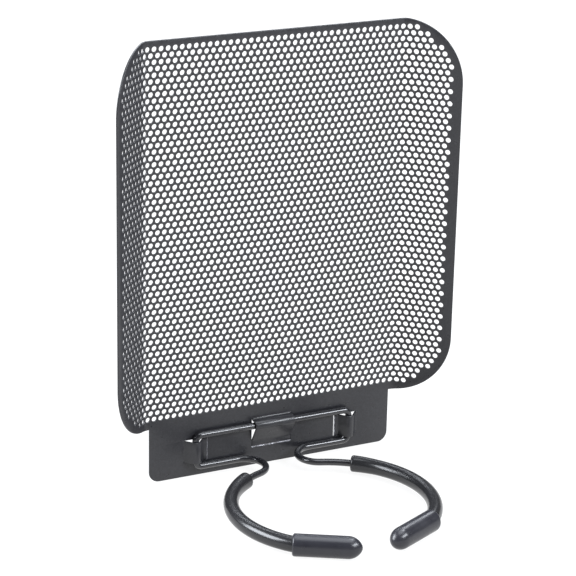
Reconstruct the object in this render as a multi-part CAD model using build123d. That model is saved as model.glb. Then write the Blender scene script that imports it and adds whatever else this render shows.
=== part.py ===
from build123d import *
import os
from math import acos, asin, cos, degrees, radians, sin, sqrt

# Clip-on screen for a microphone: a folded sheet of perforated steel, held in front of the
# microphone by a sprung wire ring. Millimetres, +Z up. The origin is the centre of the ring,
# in the plane of the ring's wire, and the ring opens towards -Y.

# Ring that closes round the microphone's body
ring_radius = 27.5
screen_distance = 38.5

# Spring wire
wire_diameter = 1.95
wire_corner_radius = 1.8
turn_radius = 5.82
leg_x = 24.0
bar_height = 9.3
leg_split_height = 4.6
leg_split_gap = 0.1

# Sleeves and end caps on the ring, as angles from the sheet's side of the ring
sleeve_diameter = 4.3
sleeve_start = {"left": 32.0, "right": 38.0}
cap_mouth = {"left": 130.4, "right": 135.3}
sleeve_inside_cap = 5.0
wire_inside_cap = 27.5
cap_diameter = 6.1
cap_length = 18.25
cap_dome = 3.8
cap_nose_radius = 2.0
cap_mouth_round = 0.35
cap_axis_shift = 0.4
bore_lead = 10.0
bore_overlap = 1.0

# Folded sheet
sheet_thickness = 0.5
sheet_top = 122.2
flange_bottom = 12.9
fold_radius = 3.5
fold_angle = 42.5
fold_middle = 38.8
flange_edge = 55.4
flange_corner_radius = 17.6
tab_corner_radius = 3.0

# Tongues cut out of the sheet and bent over the wire
tongue_clearance = 0.15
tongue_root_radius = 0.8
cut_width = 0.05
slit_width = 0.2
centre_tongue_half_width = 6.1
centre_tongue_tip_height = 2.5
centre_tongue_slope = 30.0
centre_tongue_toe_radius = 2.0
side_tongue_tip_x = 20.0
side_tongue_heights = (1.3, 7.8)
side_tongue_slope = 50.0

# Derived places
wire_radius = wire_diameter / 2
half_sheet = sheet_thickness / 2
wrap_radius = half_sheet + tongue_clearance + wire_radius
wire_y = screen_distance - wrap_radius
tab_bottom = -cap_diameter / 2
fold_half_length = fold_radius * radians(fold_angle) / 2
flat_half_width = fold_middle - fold_half_length
flange_length = flange_edge - fold_middle - fold_half_length
turn_y = wire_y - turn_radius
turn_x = sqrt((ring_radius + turn_radius) ** 2 - turn_y ** 2)
ring_start = degrees(asin(turn_x / (ring_radius + turn_radius)))
root_reach = 2 * sqrt(tongue_root_radius * wrap_radius)
root_turn = degrees(acos((tongue_root_radius - wrap_radius) / (tongue_root_radius + wrap_radius)))
side_slope = radians(side_tongue_slope)
side_bend_rise = (tongue_root_radius + wrap_radius) * (1 - cos(side_slope))
side_slope_length = (2 * wrap_radius - side_bend_rise) / sin(side_slope)
side_reach = (tongue_root_radius + wrap_radius) * sin(side_slope) + side_slope_length * cos(side_slope)


def strip_side(start, heading, moves, offset):
    """One side of a bent strip: straight moves are (length, 0), bends are (radius, turn)."""
    edges = []
    point = Vector(start)
    direction = Vector(1, 0).rotate(Axis.Z, heading)
    point = point + direction.rotate(Axis.Z, 90) * offset
    for size, turn in moves:
        if turn == 0:
            edge = Line(point, point + direction * size)
        else:
            edge = JernArc(point, direction, size - offset * (1 if turn > 0 else -1), turn)
        edges.append(edge)
        point = edge @ 1
        direction = edge % 1
    return edges


def bent_strip(start, heading, moves):
    """Section through a strip of sheet that follows the moves along its middle line."""
    one_side = strip_side(start, heading, moves, half_sheet)
    other_side = strip_side(start, heading, moves, -half_sheet)
    first_end = Line(one_side[0] @ 0, other_side[0] @ 0)
    last_end = Line(one_side[-1] @ 1, other_side[-1] @ 1)
    return make_face([*one_side, *other_side, first_end, last_end])


def box_between(x_range, y_range, z_range):
    """Box from its lowest and highest coordinates."""
    low = Vector(x_range[0], y_range[0], z_range[0])
    high = Vector(x_range[1], y_range[1], z_range[1])
    size = high - low
    return Location(low) * Box(size.X, size.Y, size.Z, align=(Align.MIN, Align.MIN, Align.MIN))


def flange_corner_waste():
    """What the two rounded corners of the right flange leave out, in the flange's own plane."""
    fold_end_x = flat_half_width + fold_radius * sin(radians(fold_angle))
    fold_end_y = screen_distance - fold_radius * (1 - cos(radians(fold_angle)))
    along = Vector(cos(radians(fold_angle)), -sin(radians(fold_angle)), 0)
    outward = Vector(along.Y, -along.X, 0)
    flange_plane = Plane(origin=(fold_end_x, fold_end_y, 0), x_dir=along, z_dir=outward)
    reach = flange_corner_radius + 1
    centre_u = flange_length - flange_corner_radius
    top_centre = Pos(centre_u, sheet_top - flange_corner_radius)
    bottom_centre = Pos(centre_u, flange_bottom + flange_corner_radius)
    top = Rectangle(reach, reach, align=(Align.MIN, Align.MIN)) - Circle(flange_corner_radius)
    bottom = Rectangle(reach, reach, align=(Align.MIN, Align.MAX)) - Circle(flange_corner_radius)
    outline = top_centre * top + bottom_centre * bottom
    return extrude(flange_plane * outline, amount=4 * sheet_thickness, both=True)


def folded_panel():
    """The sheet before its tongues are cut: flat middle, two flanges and the tab below."""
    moves = [(flat_half_width, 0), (fold_radius, -fold_angle), (flange_length, 0)]
    section = Pos(0, 0, flange_bottom) * bent_strip((0, screen_distance), 0, moves)
    right_half = extrude(section, amount=sheet_top - flange_bottom, dir=(0, 0, 1))
    right_half = right_half - flange_corner_waste()
    panel = right_half + mirror(right_half, about=Plane.YZ)
    y_range = (screen_distance - half_sheet, screen_distance + half_sheet)
    tab = box_between((-flat_half_width, flat_half_width), y_range, (tab_bottom, flange_bottom))
    tab_corners = tab.edges().filter_by(Axis.Y).group_by(Axis.Z)[0]
    tab = fillet(tab_corners, tab_corner_radius)
    return panel + tab


def centre_tongue():
    """Tongue rooted above the wire's top bar, bent over it and back down to the sheet."""
    slope = radians(centre_tongue_slope)
    toe_rise = centre_tongue_toe_radius * (1 - cos(slope))
    slope_length = (wrap_radius * (1 + cos(slope)) - toe_rise) / sin(slope)
    toe_height = bar_height - wrap_radius * sin(slope) - slope_length * cos(slope)
    toe_height = toe_height - centre_tongue_toe_radius * sin(slope)
    moves = [
        (sheet_thickness, 0),
        (tongue_root_radius, -root_turn),
        (wrap_radius, root_turn + centre_tongue_slope),
        (slope_length, 0),
        (centre_tongue_toe_radius, -centre_tongue_slope),
        (toe_height - centre_tongue_tip_height, 0),
    ]
    root_height = bar_height + root_reach
    section_plane = Plane(
        origin=(-centre_tongue_half_width, screen_distance, 0), x_dir=(0, 0, -1), z_dir=(1, 0, 0)
    )
    section = bent_strip((-root_height - sheet_thickness, 0), 0, moves)
    return extrude(section_plane * section, amount=2 * centre_tongue_half_width)


def side_tongue():
    """Right-hand tongue, rooted outboard of the wire's leg and draped over it."""
    root_x = leg_x + side_reach
    tip_run = leg_x - side_reach - side_tongue_tip_x
    moves = [
        (sheet_thickness, 0),
        (tongue_root_radius, side_tongue_slope),
        (side_slope_length, 0),
        (wrap_radius, -2 * side_tongue_slope),
        (side_slope_length, 0),
        (tongue_root_radius, side_tongue_slope),
        (tip_run, 0),
    ]
    low, high = side_tongue_heights
    section = Pos(0, 0, low) * bent_strip((root_x + sheet_thickness, screen_distance), 180, moves)
    return extrude(section, amount=high - low, dir=(0, 0, 1))


def centre_window():
    """Opening that the centre tongue leaves in the sheet."""
    half_width = centre_tongue_half_width + cut_width
    y_range = (screen_distance - sheet_thickness, screen_distance + sheet_thickness)
    z_range = (centre_tongue_tip_height - slit_width, bar_height + root_reach)
    return box_between((-half_width, half_width), y_range, z_range)


def side_window():
    """Opening that the right-hand tongue leaves in the sheet."""
    x_range = (side_tongue_tip_x - slit_width, leg_x + side_reach)
    y_range = (screen_distance - sheet_thickness, screen_distance + sheet_thickness)
    low, high = side_tongue_heights
    return box_between(x_range, y_range, (low - cut_width, high + cut_width))


def folded_screen():
    """The finished sheet, with its three tongues."""
    screen = folded_panel() - centre_window() - side_window() - mirror(side_window(), about=Plane.YZ)
    return screen + centre_tongue() + side_tongue() + mirror(side_tongue(), about=Plane.YZ)


def swept_wire(path):
    """Round wire along a path that starts parallel to the Z axis."""
    start_plane = Plane(origin=path @ 0, z_dir=path % 0)
    return sweep(start_plane * Circle(wire_radius), path=path)


def wire_yoke():
    """Top bar of the spring wire, with the upper halves of its two legs."""
    leg_end = leg_split_height + leg_split_gap / 2
    points = [
        (-leg_x, wire_y, leg_end),
        (-leg_x, wire_y, bar_height),
        (leg_x, wire_y, bar_height),
        (leg_x, wire_y, leg_end),
    ]
    return swept_wire(FilletPolyline(*points, radius=wire_corner_radius))


def arm_wire(mouth_angle):
    """Right-hand arm: lower half of the leg, lower run, turn and its half of the ring."""
    leg_top = leg_split_height - leg_split_gap / 2
    points = [(leg_x, wire_y, leg_top), (leg_x, wire_y, 0), (turn_x, wire_y, 0)]
    leg_and_run = FilletPolyline(*points, radius=wire_corner_radius)
    turn = JernArc(leg_and_run @ 1, leg_and_run % 1, turn_radius, 180 - ring_start)
    ring_end = mouth_angle + wire_inside_cap
    ring = JernArc(turn @ 1, turn % 1, ring_radius, ring_start - ring_end)
    return swept_wire(Wire([*leg_and_run.edges(), *turn.edges(), *ring.edges()]))


def ring_point(angle, radius):
    """Point on the right half of the ring, by its angle from the sheet's side."""
    return Vector(radius * sin(radians(angle)), radius * cos(radians(angle)), 0)


def ring_stretch(section, start, end):
    """A section swept along the right half of the ring, between two angles."""
    placed = Plane.XZ * Pos(ring_radius, 0) * section
    return Rot(0, 0, 90 - end) * revolve(placed, Axis.Z, revolution_arc=end - start)


def sleeve(start_angle, mouth_angle):
    """Right-hand sleeve: a tube on the ring's wire, from its start angle to inside the cap."""
    section = Circle(sleeve_diameter / 2) - Circle(wire_radius)
    return ring_stretch(section, start_angle, mouth_angle + sleeve_inside_cap)


def cap_body():
    """Domed sheath along +Y from its mouth at the origin, before it is bored."""
    radius = cap_diameter / 2
    axis_line = Line((0, 0), (0, cap_length))
    nose_rise = cap_dome - cap_nose_radius
    shoulder = (radius**2 + nose_rise**2 - cap_nose_radius**2) / (2 * (radius - cap_nose_radius))
    shoulder_turn = degrees(asin(nose_rise / (shoulder - cap_nose_radius)))
    shoulder_arc = JernArc((radius, cap_length - cap_dome), (0, 1), shoulder, shoulder_turn)
    nose_arc = JernArc(shoulder_arc @ 1, shoulder_arc % 1, cap_nose_radius, 90 - shoulder_turn)
    lip = RadiusArc((radius - cap_mouth_round, 0), (radius, cap_mouth_round), -cap_mouth_round)
    mouth_line = Line((0, 0), lip @ 0)
    wall = Line(lip @ 1, shoulder_arc @ 0)
    profile = make_face([axis_line, mouth_line, lip, wall, shoulder_arc, nose_arc])
    return revolve(profile, Axis.Y)


def end_cap(mouth_angle):
    """Right-hand cap: a straight sheath, bored for the end of the sleeve and of the wire."""
    axis_radius = ring_radius + cap_axis_shift
    cap_span = 2 * degrees(asin(cap_length / (2 * axis_radius)))
    mouth = ring_point(mouth_angle, axis_radius)
    along = (ring_point(mouth_angle + cap_span, axis_radius) - mouth).normalized()
    cap_plane = Plane(origin=mouth, x_dir=(0, 0, 1), z_dir=Vector(0, 0, 1).cross(along))
    sleeve_end = mouth_angle + sleeve_inside_cap
    wire_end = mouth_angle + wire_inside_cap
    sleeve_bore = ring_stretch(Circle(sleeve_diameter / 2), mouth_angle - bore_lead, sleeve_end)
    wire_bore = ring_stretch(Circle(wire_radius), sleeve_end - bore_overlap, wire_end)
    return cap_plane * cap_body() - sleeve_bore - wire_bore


def write_node(name, shape):
    """Write one node, as its own file."""
    shape.label = name
    export_step(shape, f"parts/{name}.step")


def main():
    os.makedirs("parts", exist_ok=True)
    write_node("perforated_screen", folded_screen())
    write_node("spring_wire_yoke", wire_yoke())
    for side in ("left", "right"):
        mouth_angle = cap_mouth[side]
        pieces = {
            "arm_wire": arm_wire(mouth_angle),
            "sleeve": sleeve(sleeve_start[side], mouth_angle),
            "end_cap": end_cap(mouth_angle),
        }
        for name, shape in pieces.items():
            placed = mirror(shape, about=Plane.YZ) if side == "left" else shape
            write_node(f"{side}_{name}", placed)


main()
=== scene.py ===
"""Looks of a clip-on microphone screen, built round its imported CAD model.

Lengths are in millimetres, in the model's own frame, until a mesh is made in metres.
"""

from math import acos, asin, ceil, cos, degrees, hypot, pi, radians, sin, sqrt, tan

import bpy
from mathutils import Matrix, Vector
from mathutils.geometry import delaunay_2d_cdt


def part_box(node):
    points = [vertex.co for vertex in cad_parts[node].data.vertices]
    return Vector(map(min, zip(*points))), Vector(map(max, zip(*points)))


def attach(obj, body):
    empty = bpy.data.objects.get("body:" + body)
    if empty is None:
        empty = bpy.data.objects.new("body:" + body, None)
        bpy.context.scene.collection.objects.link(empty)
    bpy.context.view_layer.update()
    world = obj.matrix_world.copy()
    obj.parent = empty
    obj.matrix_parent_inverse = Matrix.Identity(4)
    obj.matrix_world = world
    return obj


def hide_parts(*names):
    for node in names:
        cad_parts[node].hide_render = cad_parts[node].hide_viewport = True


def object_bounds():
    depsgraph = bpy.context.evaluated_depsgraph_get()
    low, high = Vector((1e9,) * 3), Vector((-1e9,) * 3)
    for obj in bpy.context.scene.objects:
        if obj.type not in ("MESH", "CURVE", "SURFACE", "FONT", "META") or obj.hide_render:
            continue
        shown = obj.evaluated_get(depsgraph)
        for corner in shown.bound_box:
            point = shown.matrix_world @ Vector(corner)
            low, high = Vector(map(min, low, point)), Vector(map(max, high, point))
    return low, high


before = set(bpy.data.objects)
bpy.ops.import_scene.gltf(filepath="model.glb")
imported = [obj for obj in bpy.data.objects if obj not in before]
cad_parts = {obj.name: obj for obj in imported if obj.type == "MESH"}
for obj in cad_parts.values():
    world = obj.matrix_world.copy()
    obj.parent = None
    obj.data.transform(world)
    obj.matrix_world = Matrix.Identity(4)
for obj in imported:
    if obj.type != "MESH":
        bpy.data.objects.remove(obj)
cad_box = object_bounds()

MM = 0.001
X_AXIS = Vector((1, 0, 0))
Y_AXIS = Vector((0, 1, 0))
Z_AXIS = Vector((0, 0, 1))


def box_mm(node):
    """Lowest and highest corner of a CAD node, in millimetres."""
    low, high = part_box(node)
    return low / MM, high / MM


# Spring wire, from the boxes of its CAD nodes
yoke_low, yoke_high = box_mm("spring_wire_yoke")
wire_radius = (yoke_high.y - yoke_low.y) / 2
wire_y = (yoke_high.y + yoke_low.y) / 2
leg_x = yoke_high.x - wire_radius
bar_height = yoke_high.z - wire_radius
leg_split_height = 4.6
leg_split_gap = 0.1
wire_corner_radius = 1.8
turn_radius = 5.82
ring_radius = 27.5
wire_sides = 20
arm_bend_step = 4.0
nearly_parallel = 0.9

# Sleeves and end caps: where each starts is an angle from the sheet's side of the ring
sleeve_start = {"left": 32.0, "right": 38.0}
cap_mouth = {"left": 130.4, "right": 135.3}
sleeve_radius = 2.18
sleeve_collar_radius = 2.36
sleeve_flatness = 0.95
sleeve_round_over = 0.7
sleeve_collar_length = 9.0
sleeve_inside_cap = 4.0
sleeve_bore_clearance = 0.02
sleeve_bore_depth = 0.25
sleeve_end_wall = 0.35
sleeve_sides = 32
sleeve_steps = 90
wire_inside_cap = 27.5
cap_radius = 3.05
cap_flatness = 0.92
cap_length = 18.25
cap_dome = 3.8
cap_nose_radius = 2.0
cap_lip_radius = 0.6
cap_axis_shift = 0.4
cap_bore_clearance = 0.03
cap_bore_depth = 1.2
cap_bore_bevel = (0.12, 0.14)
cap_nose_turn = 89
cap_bend_step = 6.0
cap_sides = 48
cap_straight_steps = 8
round_over_angles = range(0, 91, 15)

# Folded sheet
screen_low, screen_high = box_mm("perforated_screen")
sheet_thickness = 0.5
half_sheet = sheet_thickness / 2
edge_round = 0.12
sheet_y = screen_high.y - half_sheet
sheet_top = screen_high.z
tab_bottom = screen_low.z
flange_bottom = 12.9
fold_radius = 3.5
fold_angle = radians(42.5)
fold_middle = 38.8
flange_edge = 55.4
flange_corner_radius = 17.6
flange_corner_steps = 32
tab_corner_radius = 3.0
tab_corner_steps = 8
longest_side = 2.0
mitre_limit = 0.5
flat_half_width = fold_middle - fold_radius * fold_angle / 2

# Round holes, in staggered rows
hole_pitch = 2.0
hole_radius = 0.735
hole_sides = 12
inside_hole = 0.95
row_pitch = hole_pitch * sqrt(3) / 2
rows_each_way = 30
columns_each_way = 26
field_half_width = 52.1
field_middle_z = 67.9
field_corner_radius = 15.14
field_corner_middle = (37.4, 37.6)

# Tongues bent over the wire
tongue_clearance = 0.15
tongue_root_radius = 0.8
tongue_cut = 0.03
tongue_slit = 0.15
centre_tongue_half_width = 6.1
centre_tongue_tip_height = 2.5
centre_tongue_slope = 30.0
centre_tongue_toe_radius = 2.0
side_tongue_tip_x = 20.0
side_tongue_heights = (1.3, 7.8)
side_tongue_slope = 50.0
side_tongue_lift = 0.3
wrap_radius = half_sheet + tongue_clearance + wire_radius
root_reach = 2 * sqrt(tongue_root_radius * wrap_radius)
root_turn = degrees(acos((tongue_root_radius - wrap_radius) / (tongue_root_radius + wrap_radius)))


# Shapes: small helpers

def bent_path(start, heading, moves, bend_step=8.0):
    """Points and headings along a bent line. A move is (length,) or (bend radius, turn, axis)."""
    point = Vector(start)
    heading = Vector(heading)
    stations = [(point.copy(), heading.copy())]
    for move in moves:
        if len(move) == 1:
            point = point + heading * move[0]
            stations.append((point.copy(), heading.copy()))
            continue
        radius, turn, axis = move
        steps = ceil(abs(turn) / bend_step)
        half_turn = Matrix.Rotation(radians(turn) / steps / 2, 3, axis)
        chord = 2 * radius * sin(radians(abs(turn)) / steps / 2)
        for _ in range(steps):
            heading = half_turn @ heading
            point = point + heading * chord
            heading = half_turn @ heading
            stations.append((point.copy(), heading.copy()))
    return stations


def new_piece(name, points, faces, sharp_angle=50.0, uvs=None):
    """Mesh object from points in millimetres, smooth except across sharp edges."""
    mesh = bpy.data.meshes.new(name)
    mesh.from_pydata([point * MM for point in points], [], faces)
    mesh.polygons.foreach_set("use_smooth", [True] * len(mesh.polygons))
    if uvs:
        layer = mesh.uv_layers.new(name="UVMap")
        for loop in mesh.loops:
            layer.data[loop.index].uv = uvs[loop.vertex_index]
    mesh.update()
    mesh.set_sharp_from_angle(angle=radians(sharp_angle))
    piece = bpy.data.objects.new(name, mesh)
    bpy.context.scene.collection.objects.link(piece)
    return piece


def skin(name, stations, sides, mirrored=False):
    """Closed skin over rings, each ring a centre and two half-axes across the piece."""
    points = []
    uvs = []
    run = 0.0
    last_centre = stations[0][0]
    for centre, across, up in stations:
        run += (centre - last_centre).length
        last_centre = centre
        for side in range(sides):
            angle = 2 * pi * side / sides
            points.append(centre + across * cos(angle) + up * sin(angle))
            uvs.append((run * MM, side / sides))
    faces = [list(range(sides))[::-1]]
    for ring in range(len(stations) - 1):
        for side in range(sides):
            here = ring * sides + side
            beside = ring * sides + (side + 1) % sides
            faces.append([here, beside, beside + sides, here + sides])
    last_ring = (len(stations) - 1) * sides
    faces.append(list(range(last_ring, last_ring + sides)))
    if mirrored:
        points = [Vector((-point.x, point.y, point.z)) for point in points]
        faces = [face[::-1] for face in faces]
    return new_piece(name, points, faces, uvs=uvs)


# Materials

def feed(material, socket, value):
    """Link a node's output to a socket, or set the socket to a number or a colour."""
    if isinstance(value, bpy.types.NodeSocket):
        material.node_tree.links.new(value, socket)
    elif isinstance(value, tuple):
        socket.default_value = (*value, 1)
    else:
        socket.default_value = value


def start_material(name, colour, roughness):
    """Principled material with one colour and one roughness to begin with."""
    material = bpy.data.materials.new(name)
    material.use_nodes = True
    shader = material.node_tree.nodes["Principled BSDF"]
    feed(material, shader.inputs["Base Color"], colour)
    feed(material, shader.inputs["Roughness"], roughness)
    return material, shader


def coordinates(material, kind):
    """Object or UV coordinates, in metres."""
    return material.node_tree.nodes.new("ShaderNodeTexCoord").outputs[kind]


def noise(material, vector, scale, detail=2.0):
    """Noise over the given coordinates; the scale is in features per metre."""
    node = material.node_tree.nodes.new("ShaderNodeTexNoise")
    feed(material, node.inputs["Scale"], scale)
    feed(material, node.inputs["Detail"], detail)
    feed(material, node.inputs["Vector"], vector)
    return node.outputs["Fac"]


def spread(material, value, low, high, from_low=0.3, from_high=0.7):
    """A value stretched from one range over another."""
    node = material.node_tree.nodes.new("ShaderNodeMapRange")
    feed(material, node.inputs["From Min"], from_low)
    feed(material, node.inputs["From Max"], from_high)
    feed(material, node.inputs["To Min"], low)
    feed(material, node.inputs["To Max"], high)
    feed(material, node.inputs["Value"], value)
    return node.outputs["Result"]


def calculate(material, operation, first, second):
    """Arithmetic on two values, each an output of a node or a number."""
    node = material.node_tree.nodes.new("ShaderNodeMath")
    node.operation = operation
    for socket, value in zip(node.inputs, (first, second)):
        feed(material, socket, value)
    return node.outputs["Value"]


def near_value(material, value, middle, reach, fade):
    """One where a value in metres is within a reach of its middle, fading to nothing beyond."""
    offset = calculate(material, "SUBTRACT", value, middle * MM)
    gap = calculate(material, "ABSOLUTE", offset, 0.0)
    return spread(material, gap, 1.0, 0.0, reach * MM, (reach + fade) * MM)


def two_colours(material, factor, first, second):
    """Mix by a factor of two colours, each an output of a node or a colour."""
    node = material.node_tree.nodes.new("ShaderNodeMix")
    node.data_type = "RGBA"
    colour_sockets = [socket for socket in node.inputs if socket.type == "RGBA"]
    feed(material, colour_sockets[0], first)
    feed(material, colour_sockets[1], second)
    feed(material, node.inputs["Factor"], factor)
    return next(socket for socket in node.outputs if socket.type == "RGBA")


def add_bump(material, shader, height, distance, strength):
    """Bump from a height, whose full range is the distance in metres."""
    node = material.node_tree.nodes.new("ShaderNodeBump")
    feed(material, node.inputs["Strength"], strength)
    feed(material, node.inputs["Distance"], distance)
    feed(material, node.inputs["Height"], height)
    feed(material, shader.inputs["Normal"], node.outputs["Normal"])


def cut_edge_highlights(material, place):
    """Painted highlights along the cut edges, where they would catch the light from above: under the
    centre tongue and on the side tips.
    """
    split = material.node_tree.nodes.new("ShaderNodeSeparateXYZ")
    feed(material, split.inputs["Vector"], place)
    across, height = split.outputs["X"], split.outputs["Z"]
    cut_height = centre_tongue_tip_height - tongue_slit / 2
    on_cut = near_value(material, height, cut_height, reach=0.12, fade=0.1)
    under_tongue = near_value(material, across, 0, centre_tongue_half_width, fade=0.2)
    lower_cut = calculate(material, "MULTIPLY", on_cut, under_tongue)
    low, high = side_tongue_heights
    mirrored_across = calculate(material, "ABSOLUTE", across, 0.0)
    on_tip = near_value(material, mirrored_across, side_tongue_tip_x, reach=0.08, fade=0.08)
    beside_tip = near_value(material, height, (low + high) / 2, (high - low) / 2, fade=0.2)
    tips = calculate(material, "MULTIPLY", on_tip, beside_tip)
    # Painted highlight lines along both cuts, broken into dashes by noise.
    highlight_dashes = spread(material, noise(material, place, 900), 0.25, 1.0, 0.42, 0.6)
    highlight_lines = calculate(material, "MAXIMUM", lower_cut, tips)
    return calculate(material, "MULTIPLY", highlight_lines, highlight_dashes)


def vary(material, shader, pattern, colours, roughnesses):
    """Let one pattern carry a material's colour and roughness from one value to another."""
    feed(material, shader.inputs["Base Color"], two_colours(material, pattern, *colours))
    feed(material, shader.inputs["Roughness"], spread(material, pattern, *roughnesses))


def powder_coat():
    """Charcoal powder coat: a fine orange-peel surface, a faint speckle and painted highlights along
    the cuts.
    """
    material, shader = start_material("charcoal_powder_coat", (0.026, 0.026, 0.029), 0.38)
    place = coordinates(material, "Object")
    # Pale grey of the painted highlights, standing in for light caught by the cut edges.
    highlight_colour = (0.55, 0.55, 0.60)
    speckle = spread(material, noise(material, place, 2600, detail=3.0), 0, 1)
    colour = two_colours(material, speckle, (0.014, 0.014, 0.016), (0.025, 0.025, 0.029))
    # Mixes the painted highlights of the cut edges into the coat's colour.
    coat_and_highlights = two_colours(material, cut_edge_highlights(material, place), colour, highlight_colour)
    feed(material, shader.inputs["Base Color"], coat_and_highlights)
    patches = spread(material, noise(material, place, 420), 0.27, 0.36)
    feed(material, shader.inputs["Roughness"], patches)
    add_bump(material, shader, noise(material, place, 1900), distance=0.00003, strength=0.5)
    return material


def wire_enamel():
    """Glossy near-black coat on the spring wire, a little uneven."""
    material, shader = start_material("black_wire_coat", (0.014, 0.014, 0.016), 0.2)
    shader.inputs["Coat Weight"].default_value = 0.5
    shader.inputs["Coat Roughness"].default_value = 0.16
    place = coordinates(material, "Object")
    colours = ((0.010, 0.010, 0.012), (0.020, 0.020, 0.023))
    vary(material, shader, noise(material, place, 500, detail=3.0), colours, (0.18, 0.24))
    add_bump(material, shader, noise(material, place, 900), distance=0.00001, strength=0.3)
    return material


def sleeve_vinyl():
    """Extruded black tubing: glossy, with faint lines along its length."""
    material, shader = start_material("black_vinyl_tubing", (0.018, 0.018, 0.020), 0.26)
    stretch = material.node_tree.nodes.new("ShaderNodeMapping")
    stretch.inputs["Scale"].default_value = (60, 14, 1)
    feed(material, stretch.inputs["Vector"], coordinates(material, "UV"))
    lines = noise(material, stretch.outputs["Vector"], 1.0, detail=1.0)
    vary(material, shader, lines, ((0.012, 0.012, 0.013), (0.020, 0.020, 0.022)), (0.20, 0.26))
    add_bump(material, shader, lines, distance=0.00002, strength=0.15)
    return material


def cap_vinyl():
    """Dipped vinyl of the end caps: satin blue-black with a soft mottle."""
    material, shader = start_material("blue_black_dipped_vinyl", (0.022, 0.022, 0.026), 0.34)
    place = coordinates(material, "Object")
    colours = ((0.014, 0.014, 0.018), (0.022, 0.022, 0.028))
    vary(material, shader, noise(material, place, 260, detail=3.0), colours, (0.26, 0.36))
    add_bump(material, shader, noise(material, place, 700), distance=0.00002, strength=0.4)
    return material


# Perforated screen

def on_sheet(across, height):
    """Point of the sheet's middle layer and its viewer-side normal, from its flat pattern."""
    side = 1 if across >= 0 else -1
    past_flat = abs(across) - flat_half_width
    if past_flat <= 0:
        return Vector((across, sheet_y, height)), -Y_AXIS
    tilt = min(past_flat / fold_radius, fold_angle)
    flange = max(past_flat - fold_radius * fold_angle, 0)
    x = flat_half_width + fold_radius * sin(tilt) + flange * cos(tilt)
    y = sheet_y - fold_radius * (1 - cos(tilt)) - flange * sin(tilt)
    return Vector((side * x, y, height)), Vector((-side * sin(tilt), -cos(tilt), 0))


def arc(middle, radius, start, end, steps):
    """Points on an arc between two angles in degrees."""
    angles = [radians(start + (end - start) * step / steps) for step in range(steps + 1)]
    return [(middle[0] + radius * cos(angle), middle[1] + radius * sin(angle)) for angle in angles]


def divided(outline):
    """The closed outline with its long sides cut into short ones."""
    points = []
    for (x, z), (next_x, next_z) in zip(outline, outline[1:] + outline[:1]):
        steps = max(1, ceil(hypot(next_x - x, next_z - z) / longest_side))
        for step in range(steps):
            points.append((x + (next_x - x) * step / steps, z + (next_z - z) * step / steps))
    return points


def sheet_outline():
    """Outline of the flat pattern, inside the rounded edge: the tab, then both flanges."""
    tab_middle = (flat_half_width - tab_corner_radius, tab_bottom + tab_corner_radius)
    flange_x = flange_edge - flange_corner_radius
    low_middle = (flange_x, flange_bottom + flange_corner_radius)
    high_middle = (flange_x, sheet_top - flange_corner_radius)
    flange_arc = flange_corner_radius - edge_round
    right = [
        *arc(tab_middle, tab_corner_radius - edge_round, -90, 0, tab_corner_steps),
        (flat_half_width - edge_round, flange_bottom + edge_round),
        *arc(low_middle, flange_arc, -90, 0, flange_corner_steps),
        *arc(high_middle, flange_arc, 0, 90, flange_corner_steps),
        (flat_half_width, sheet_top - edge_round),
    ]
    left = [(-x, z) for x, z in reversed(right)]
    return divided(right + left)


def hole_middles():
    """Middles of the holes in the flat pattern, with the field's corners left out."""
    middles = []
    for row in range(-rows_each_way, rows_each_way + 1):
        rise = row * row_pitch
        shift = hole_pitch / 2 if row % 2 else 0.0
        for column in range(-columns_each_way, columns_each_way + 1):
            across = column * hole_pitch + shift
            past_x = abs(across) - field_corner_middle[0]
            past_z = abs(rise) - field_corner_middle[1]
            in_corner = past_x > 0 and past_z > 0
            past_corner = in_corner and hypot(past_x, past_z) > field_corner_radius
            if abs(across) <= field_half_width and not past_corner:
                middles.append((across, field_middle_z + rise))
    return middles


def tongues():
    """The three tongues: root, heading and breadth in the flat pattern, and how each is bent."""
    slope = radians(centre_tongue_slope)
    toe_radius = centre_tongue_toe_radius
    tip_height = centre_tongue_tip_height
    toe_rise = toe_radius * (1 - cos(slope))
    slope_length = (wrap_radius * (1 + cos(slope)) - toe_rise) / sin(slope)
    toe_height = bar_height - (wrap_radius + toe_radius) * sin(slope) - slope_length * cos(slope)
    centre_bends = [
        (edge_round, 0),
        (tongue_root_radius, root_turn),
        (wrap_radius, -root_turn - centre_tongue_slope),
        (slope_length, 0),
        (toe_radius, centre_tongue_slope),
        (toe_height - tip_height - edge_round, 0),
    ]
    centre_root = bar_height + root_reach
    centre_reach = centre_root - tip_height
    found = [(Vector((0, 0, centre_root)), -Z_AXIS, X_AXIS, centre_tongue_half_width,
              centre_reach, centre_bends)]
    side_slope = radians(side_tongue_slope)
    bend_radii = tongue_root_radius + wrap_radius
    side_length = (2 * wrap_radius - bend_radii * (1 - cos(side_slope))) / sin(side_slope)
    side_run = bend_radii * sin(side_slope) + side_length * cos(side_slope)
    tip_run = leg_x - side_run - side_tongue_tip_x + side_tongue_lift / tan(side_slope)
    side_bends = [
        (edge_round, 0),
        (tongue_root_radius, side_tongue_slope),
        (side_length, 0),
        (wrap_radius, -2 * side_tongue_slope),
        (side_length - side_tongue_lift / sin(side_slope), 0),
        (tongue_root_radius, side_tongue_slope),
        (tip_run - edge_round, 0),
    ]
    side_low, side_high = side_tongue_heights
    half_width = (side_high - side_low) / 2
    reach = leg_x + side_run - side_tongue_tip_x
    for side in (1, -1):
        root = Vector((side * (leg_x + side_run), 0, (side_low + side_high) / 2))
        found.append((root, -side * X_AXIS, -side * Z_AXIS, half_width, reach, side_bends))
    return found


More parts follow.
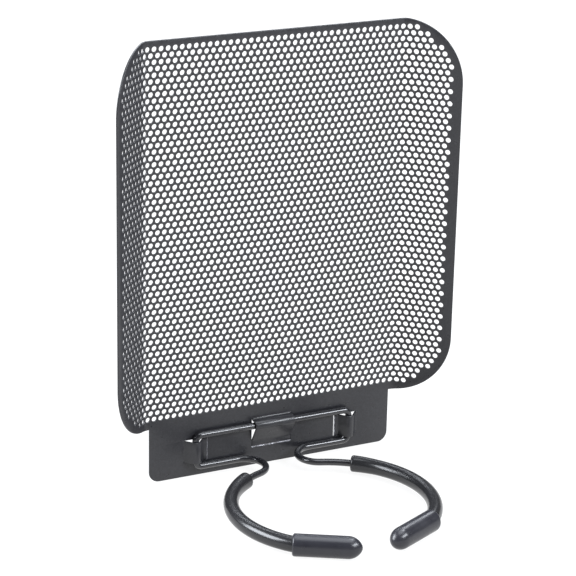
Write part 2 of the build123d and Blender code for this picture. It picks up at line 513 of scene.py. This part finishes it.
def tongue_window(tongue):
    """Outline of the opening that a tongue leaves, with the ends of its root as two points."""
    root, heading, across, half_width, reach, _ = tongue
    root = root - heading * edge_round
    far = heading * (reach + tongue_slit + 2 * edge_round)
    wide = across * (half_width + tongue_cut + edge_round)
    narrow = across * (half_width - edge_round)
    corners = [root - wide, root - narrow, root + narrow, root + wide]
    corners += [root + wide + far, root - wide + far]
    return [(corner.x, corner.z) for corner in corners]


def tongue_strip(tongue):
    """Rows of (left point, right point, normal) along a bent tongue's middle layer."""
    root, heading, across, half_width, _, bends = tongue
    start = root - heading * edge_round + Y_AXIS * sheet_y
    moves = []
    for size, turn in bends:
        moves.append((size, -turn, across) if turn else (size,))
    breadth = across * (half_width - edge_round)
    rows = []
    for point, direction in bent_path(start, heading, moves):
        rows.append((point - breadth, point + breadth, direction.cross(across)))
    return rows


def inside(point, outline):
    """Whether a point of the flat pattern is inside a closed outline."""
    x, z = point
    found = False
    for (x1, z1), (x2, z2) in zip(outline, outline[1:] + outline[:1]):
        if (z1 > z) != (z2 > z) and x < x1 + (z - z1) * (x2 - x1) / (z2 - z1):
            found = not found
    return found


def flat_pattern(windows, middles):
    """Triangles of the flat pattern, between its outline, its windows and its holes."""
    points = []
    edges = []
    # A polygon with the area of a round hole has its corners a little further out
    flat_radius = hole_radius / sqrt(sin(2 * pi / hole_sides) / (2 * pi / hole_sides))
    half_side = 180 / hole_sides
    holes = []
    for middle in middles:
        holes.append(arc(middle, flat_radius, half_side, 360 - half_side, hole_sides - 1))
    outline = sheet_outline()
    for loop in [outline, *windows, *holes]:
        first = len(points)
        points += [Vector(point) for point in loop]
        count = len(loop)
        edges += [(first + step, first + (step + 1) % count) for step in range(count)]
    inside_outlines = 1
    merge_distance = 1e-7
    points, _, triangles, *_ = delaunay_2d_cdt(
        points, edges, [], inside_outlines, merge_distance, False
    )
    hole_rows = {}
    for x, z in middles:
        hole_rows.setdefault(round((z - field_middle_z) / row_pitch), set()).add(round(x, 3))
    kept = []
    for triangle in triangles:
        middle = sum((points[corner] for corner in triangle), Vector((0, 0))) / 3
        row = round((middle.y - field_middle_z) / row_pitch)
        shift = hole_pitch / 2 if row % 2 else 0.0
        column = round((middle.x - shift) / hole_pitch) * hole_pitch + shift
        reach = hypot(middle.x - column, middle.y - field_middle_z - row * row_pitch)
        in_hole = round(column, 3) in hole_rows.get(row, ()) and reach < inside_hole * flat_radius
        in_window = any(inside(middle, window) for window in windows)
        outside = max(triangle) < len(outline) and not inside(middle, outline)
        if not (in_hole or in_window or outside):
            kept.append(list(triangle))
    return points, kept


def boundary_loops(faces):
    """Loops of points round the edge of a surface and round each opening, face on the left."""
    sides = {(face[i], face[(i + 1) % len(face)]) for face in faces for i in range(len(face))}
    after = {first: second for first, second in sides if (second, first) not in sides}
    loops = []
    while after:
        first, here = after.popitem()
        loop = [first]
        while here != first:
            loop.append(here)
            here = after.pop(here)
        loops.append(loop)
    return loops


def rounded_edge(before, here, after, normal):
    """Points round the outside of a sheet's edge at one of its boundary points, front to back."""
    back = (here - before).normalized().cross(normal)
    ahead = (after - here).normalized().cross(normal)
    outward = (back + ahead).normalized()
    outward = outward / max(outward.dot(ahead), mitre_limit)
    points = []
    for face_side, angle in ((1, 45), (1, 0), (-1, 0), (-1, 45)):
        out = edge_round * cos(radians(angle))
        rise = face_side * (half_sheet - edge_round + edge_round * sin(radians(angle)))
        points.append(here + outward * out + normal * rise)
    return points


def solid_sheet(name, points, normals, faces):
    """Closed sheet round a middle layer: holes are cut square, other edges are rounded."""
    count = len(points)
    solid = [point + normal * half_sheet for point, normal in zip(points, normals)]
    solid += [point - normal * half_sheet for point, normal in zip(points, normals)]
    solid_faces = [list(face) for face in faces]
    solid_faces += [[corner + count for corner in reversed(face)] for face in faces]
    for loop in boundary_loops(faces):
        rings = []
        for before, here, after in zip([loop[-1], *loop], loop, [*loop[1:], loop[0]]):
            ring = [here, here + count]
            if len(loop) > hole_sides:
                first_new = len(solid)
                solid += rounded_edge(points[before], points[here], points[after], normals[here])
                ring[1:1] = range(first_new, len(solid))
            rings.append(ring)
        for ring, next_ring in zip(rings, [*rings[1:], rings[0]]):
            for step in range(len(ring) - 1):
                solid_faces.append([next_ring[step], ring[step], ring[step + 1], next_ring[step + 1]])
    return new_piece(name, solid, solid_faces)


def perforated_screen():
    """The folded sheet with all its holes and its three bent tongues."""
    found = tongues()
    windows = [tongue_window(tongue) for tongue in found]
    middles = hole_middles()
    flat_points, faces = flat_pattern(windows, middles)
    placed = [on_sheet(point.x, point.y) for point in flat_points]
    points = [point for point, _ in placed]
    normals = [normal for _, normal in placed]
    known = {tuple(round(value, 4) for value in point): index for index, point in enumerate(points)}
    for tongue in found:
        last_pair = None
        for left, right, normal in tongue_strip(tongue):
            pair = []
            for point in (left, right):
                key = tuple(round(value, 4) for value in point)
                if key not in known:
                    known[key] = len(points)
                    points.append(point)
                    normals.append(normal)
                pair.append(known[key])
            if last_pair:
                faces.append([last_pair[0], pair[0], pair[1], last_pair[1]])
            last_pair = pair
    return solid_sheet("screen_sheet", points, normals, faces)


# Spring wire

def wire_stations(path):
    """Rings along a wire's path, each turned no more than the path itself turns."""
    stations = []
    across = X_AXIS
    if abs(path[0][1].dot(across)) > nearly_parallel:
        across = Y_AXIS
    for point, heading in path:
        across = (across - heading * across.dot(heading)).normalized()
        up = heading.cross(across)
        stations.append((point, across * wire_radius, up * wire_radius))
    return stations


def yoke_wire():
    """Top bar and the upper halves of its legs."""
    leg_end = leg_split_height + leg_split_gap / 2
    leg = bar_height - wire_corner_radius - leg_end
    bar = 2 * (leg_x - wire_corner_radius)
    bend = (wire_corner_radius, 90, Y_AXIS)
    moves = [(leg,), bend, (bar,), bend, (leg,)]
    path = bent_path((-leg_x, wire_y, leg_end), Z_AXIS, moves)
    return skin("wire_top_bar", wire_stations(path), wire_sides)


def arm_wire(side):
    """Lower half of a leg, the lower run, the turn and half of the ring."""
    turn_y = wire_y - turn_radius
    turn_x = sqrt((ring_radius + turn_radius) ** 2 - turn_y**2)
    ring_start = degrees(asin(turn_x / (ring_radius + turn_radius)))
    ring_end = cap_mouth[side] + wire_inside_cap
    leg_top = leg_split_height - leg_split_gap / 2
    moves = [
        (leg_top - wire_corner_radius,),
        (wire_corner_radius, 90, Y_AXIS),
        (leg_x - wire_corner_radius - turn_x,),
        (turn_radius, 180 - ring_start, Z_AXIS),
        (ring_radius, ring_start - ring_end, Z_AXIS),
    ]
    path = bent_path((leg_x, wire_y, leg_top), -Z_AXIS, moves, arm_bend_step)
    return skin(f"{side}_wire", wire_stations(path), wire_sides, mirrored=side == "left")


# Sleeves and end caps

def ring_frame(angle):
    """Middle of the wire at an angle on the right half of the ring, and the way outward."""
    outward = Vector((sin(radians(angle)), cos(radians(angle)), 0))
    return outward * ring_radius, outward


def sleeve(side):
    """Tubing on the ring, a little thicker and rounded over where it starts."""
    start = sleeve_start[side]
    end = cap_mouth[side] + degrees(sleeve_inside_cap / ring_radius)
    stations = [
        (sleeve_bore_depth, wire_radius + sleeve_bore_clearance),
        (0.0, wire_radius + sleeve_end_wall),
    ]
    for angle in round_over_angles:
        run = sleeve_round_over * (1 - cos(radians(angle)))
        radius = sleeve_collar_radius - sleeve_round_over * (1 - sin(radians(angle)))
        stations.append((run, radius))
    total = radians(end - start) * ring_radius
    for step in range(1, sleeve_steps + 1):
        run = sleeve_round_over + (total - sleeve_round_over) * step / sleeve_steps
        fade = min(run / sleeve_collar_length, 1.0)
        ease = fade * fade * (3 - 2 * fade)
        stations.append((run, sleeve_collar_radius + (sleeve_radius - sleeve_collar_radius) * ease))
    rings = []
    for run, radius in stations:
        centre, outward = ring_frame(start + degrees(run / ring_radius))
        rings.append((centre, outward * radius * sleeve_flatness, Z_AXIS * radius))
    return skin(f"{side}_tubing", rings, sleeve_sides, mirrored=side == "left")


def cap_profile():
    """Rings of the cap as (distance from the mouth, radius), from inside the mouth to the tip."""
    bore = sleeve_radius + cap_bore_clearance
    bevel_depth, bevel_breadth = cap_bore_bevel
    rings = [(cap_bore_depth, bore), (bevel_depth, bore), (0.0, bore + bevel_breadth)]
    for angle in round_over_angles:
        run = cap_lip_radius * (1 - cos(radians(angle)))
        radius = cap_radius - cap_lip_radius * (1 - sin(radians(angle)))
        rings.append((run, radius))
    straight_end = cap_length - cap_dome
    for step in range(1, cap_straight_steps + 1):
        run = cap_lip_radius + (straight_end - cap_lip_radius) * step / cap_straight_steps
        rings.append((run, cap_radius))
    nose_rise = cap_dome - cap_nose_radius
    top = cap_radius**2 + nose_rise**2 - cap_nose_radius**2
    shoulder = top / (2 * (cap_radius - cap_nose_radius))
    shoulder_turn = degrees(asin(nose_rise / (shoulder - cap_nose_radius)))
    moves = [
        (shoulder, shoulder_turn, Z_AXIS),
        (cap_nose_radius, cap_nose_turn - shoulder_turn, Z_AXIS),
    ]
    dome = bent_path((cap_radius, straight_end, 0), Y_AXIS, moves, cap_bend_step)
    rings += [(point.y, point.x) for point, _ in dome[1:]]
    return rings


def end_cap(side):
    """Domed cap over the end of the sleeve, with a rolled lip at its mouth."""
    axis_radius = ring_radius + cap_axis_shift
    span = 2 * degrees(asin(cap_length / (2 * axis_radius)))
    mouth = ring_frame(cap_mouth[side])[1] * axis_radius
    along = (ring_frame(cap_mouth[side] + span)[1] * axis_radius - mouth).normalized()
    outward = along.cross(Z_AXIS)
    rings = []
    for run, radius in cap_profile():
        rings.append((mouth + along * run, outward * radius * cap_flatness, Z_AXIS * radius))
    return skin(f"{side}_tip", rings, cap_sides, mirrored=side == "left")


# Putting the piece in the frame

def dress(piece, body, node, material):
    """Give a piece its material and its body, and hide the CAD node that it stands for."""
    piece.data.materials.append(material)
    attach(piece, body)
    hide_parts(node)


def stage_floor():
    """Plain white floor, level with the lowest part of the object."""
    reach = 20.0
    level = cad_box[0][2]
    corners = [(-reach, -reach), (reach, -reach), (reach, reach), (-reach, reach)]
    mesh = bpy.data.meshes.new("floor")
    mesh.from_pydata([(x, y, level) for x, y in corners], [], [(0, 1, 2, 3)])
    floor = bpy.data.objects.new("floor", mesh)
    bpy.context.scene.collection.objects.link(floor)
    material, shader = start_material("white_floor", (0.12, 0.12, 0.12), 1.0)
    shader.inputs["Specular IOR Level"].default_value = 0.0
    feed(material, shader.inputs["Emission Color"], (1, 1, 1))
    shader.inputs["Emission Strength"].default_value = 0.9
    floor.data.materials.append(material)


def softbox(name, place, size, power):
    """Rectangular cool white light aimed at the object; the place and size are in metres."""
    target = Vector((0, 0.02, 0.05))
    light = bpy.data.lights.new(name, "AREA")
    light.shape = "RECTANGLE"
    light.size, light.size_y = size
    light.energy = power
    light.color = (0.90, 0.94, 1.0)
    lamp = bpy.data.objects.new(name, light)
    lamp.location = place
    lamp.rotation_euler = (target - Vector(place)).to_track_quat("-Z", "Y").to_euler()
    bpy.context.scene.collection.objects.link(lamp)


def studio():
    """White surroundings and soft lights."""
    world = bpy.data.worlds.new("studio")
    bpy.context.scene.world = world
    world.use_nodes = True
    background = world.node_tree.nodes["Background"]
    background.inputs["Color"].default_value = (1.0, 1.0, 1.0, 1)
    background.inputs["Strength"].default_value = 0.12
    lamps = {
        "overhead": ((0.1, 0.0, 1.0), (0.9, 0.7), 8),
        "behind": ((0.3, 0.75, 0.8), (1.1, 0.45), 11),
        "left": ((-0.85, 0.3, 0.55), (0.8, 0.55), 24),
        "right": ((0.55, 0.15, 1.0), (0.4, 0.25), 4),
        "front_right": ((0.52, -0.7, 0.6), (0.8, 0.25), 14),
    }
    for name, (place, size, power) in lamps.items():
        softbox(name, place, size, power)
    bpy.context.scene.view_settings.view_transform = "Standard"


def camera():
    """Long lens, above and to the left of the screen's front, with the screen above the middle."""
    azimuth, elevation, roll = radians(26.8), radians(19.44), radians(-1.22)
    distance = 612.24
    focal_length = 139.6
    field_offset = (-3.588, 17.696)
    level_right = Vector((cos(azimuth), -sin(azimuth), 0))
    forward = Vector((sin(azimuth) * cos(elevation), cos(azimuth) * cos(elevation), -sin(elevation)))
    level_up = level_right.cross(forward)
    right = level_right * cos(roll) - level_up * sin(roll)
    up = level_right * sin(roll) + level_up * cos(roll)
    aim = Vector((0, sheet_y, field_middle_z)) - right * field_offset[0] - up * field_offset[1]
    place = (aim - forward * distance) * MM
    data = bpy.data.cameras.new("camera")
    data.lens = focal_length
    data.sensor_width = 36.0
    data.clip_start = 0.01
    lens = bpy.data.objects.new("camera", data)
    turned = Matrix((right, up, -forward)).transposed().to_4x4()
    lens.matrix_world = Matrix.Translation(place) @ turned
    bpy.context.scene.collection.objects.link(lens)
    bpy.context.scene.camera = lens


camera()
studio()
stage_floor()
dress(perforated_screen(), "shield", "perforated_screen", powder_coat())
wire_coat = wire_enamel()
tubing = sleeve_vinyl()
dipped_vinyl = cap_vinyl()
dress(yoke_wire(), "shield", "spring_wire_yoke", wire_coat)
for side in ("left", "right"):
    dress(arm_wire(side), f"{side}_arm", f"{side}_arm_wire", wire_coat)
    dress(sleeve(side), f"{side}_arm", f"{side}_sleeve", tubing)
    dress(end_cap(side), f"{side}_arm", f"{side}_end_cap", dipped_vinyl)
